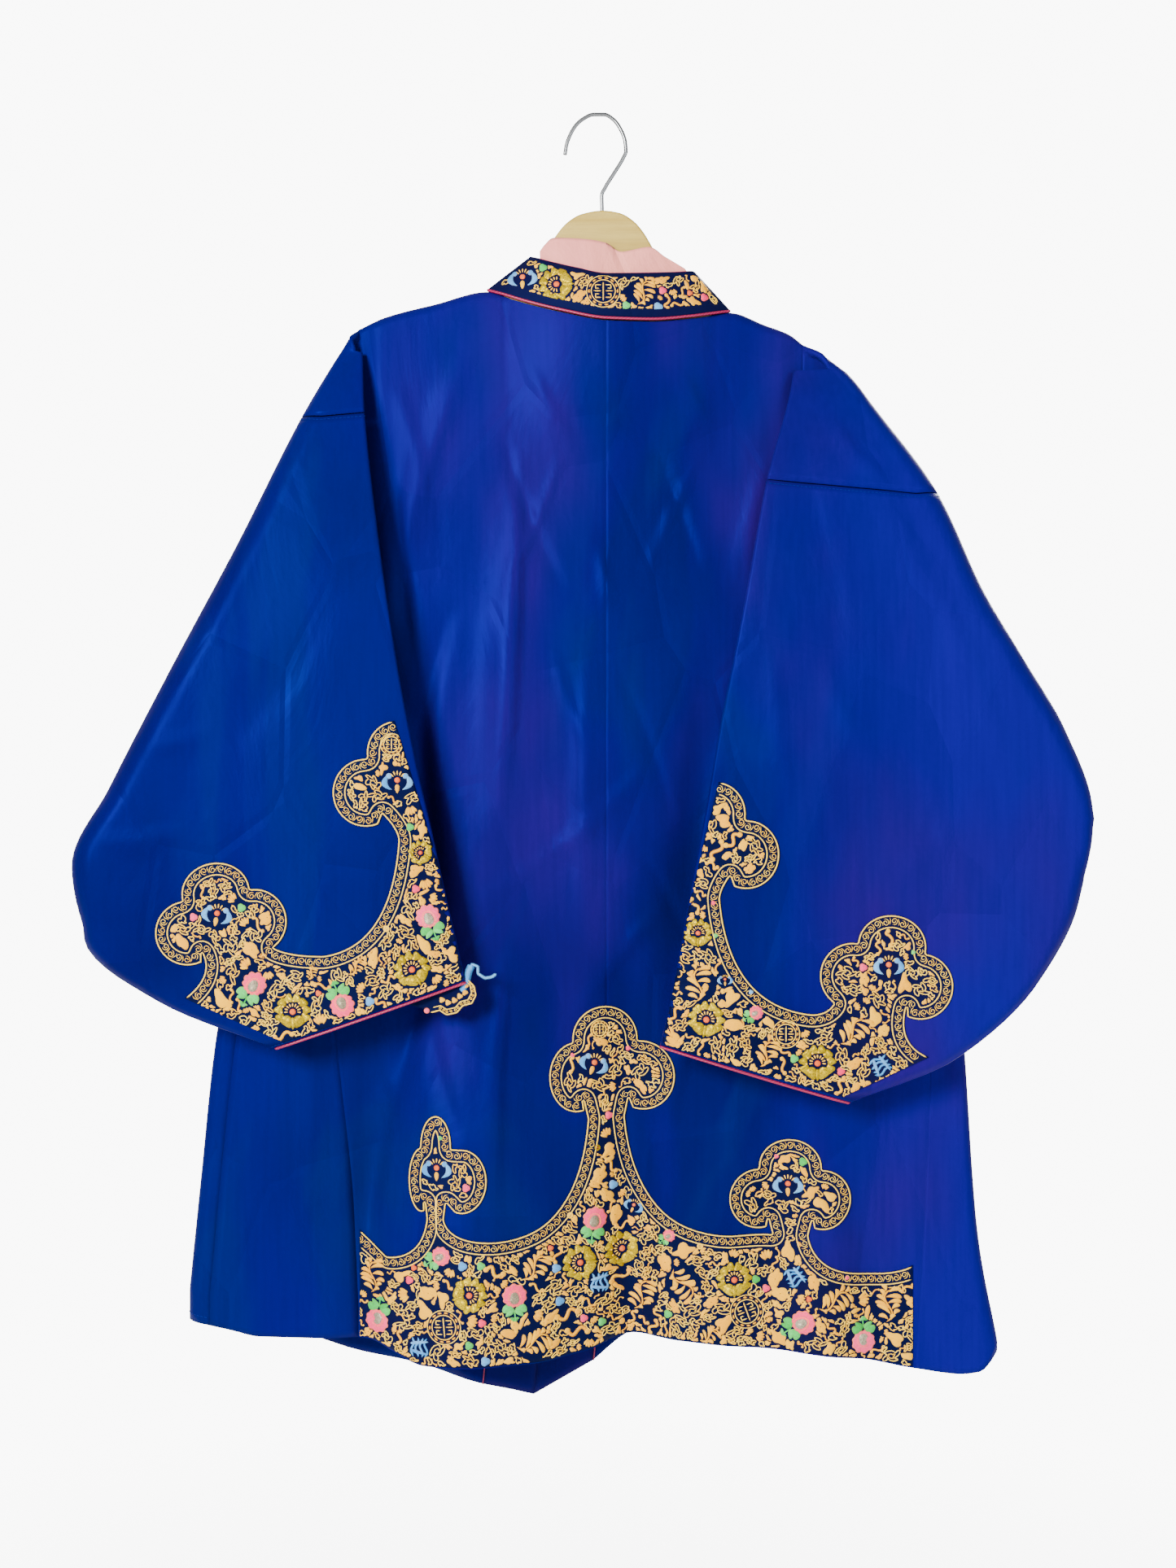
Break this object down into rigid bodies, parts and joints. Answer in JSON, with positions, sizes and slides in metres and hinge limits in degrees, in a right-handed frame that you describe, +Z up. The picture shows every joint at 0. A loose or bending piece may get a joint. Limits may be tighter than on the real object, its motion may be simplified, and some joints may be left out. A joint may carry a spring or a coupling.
{
  "type": "haori on a hanger",
  "caption": "Wide-sleeved T-cut silk haori on a shaped wooden hanger, seen from the back, with embroidered cloud borders at hem and cuffs.",
  "frame": {"origin": "top of the hanger's hook, inside its bend, where a rail holds it", "axes": "+Z up; +Y away from the viewer of the back, so the garment's back faces -Y; +X to that viewer's right"},
  "size_m": [0.8832, 0.1309, 1.142],
  "materials": {
    "blue_satin": "smooth silk satin with a soft sheen",
    "navy_satin": "dark silk satin under dense embroidery",
    "pink_silk": "thin plain silk lining",
    "gold_embroidery": "dense couched gold and silk thread on a dark ground",
    "crimson_piping": "round silk piping",
    "pale_wood": "clear satin lacquer",
    "steel": "drawn wire, lightly polished"
  },
  "bodies": {
    "root": {"back_left": "blue_satin", "back_right": "blue_satin", "front_left": "blue_satin", "front_right": "blue_satin", "gusset_left": "blue_satin", "gusset_right": "blue_satin", "shoulder_left": "blue_satin", "shoulder_right": "blue_satin", "sleeve_left": "blue_satin", "sleeve_right": "blue_satin", "front_band_left": "navy_satin", "front_band_right": "navy_satin", "collar": "navy_satin", "collar_lining": "pink_silk", "hem_border": "gold_embroidery", "cuff_border_left": "gold_embroidery", "cuff_border_right": "gold_embroidery", "neck_piping": "crimson_piping", "front_piping_left": "crimson_piping", "front_piping_right": "crimson_piping", "cuff_piping_left": "crimson_piping", "cuff_piping_right": "crimson_piping", "hanger_wood": "pale_wood", "hanger_hook": "steel"}
  },
  "joints": []
}
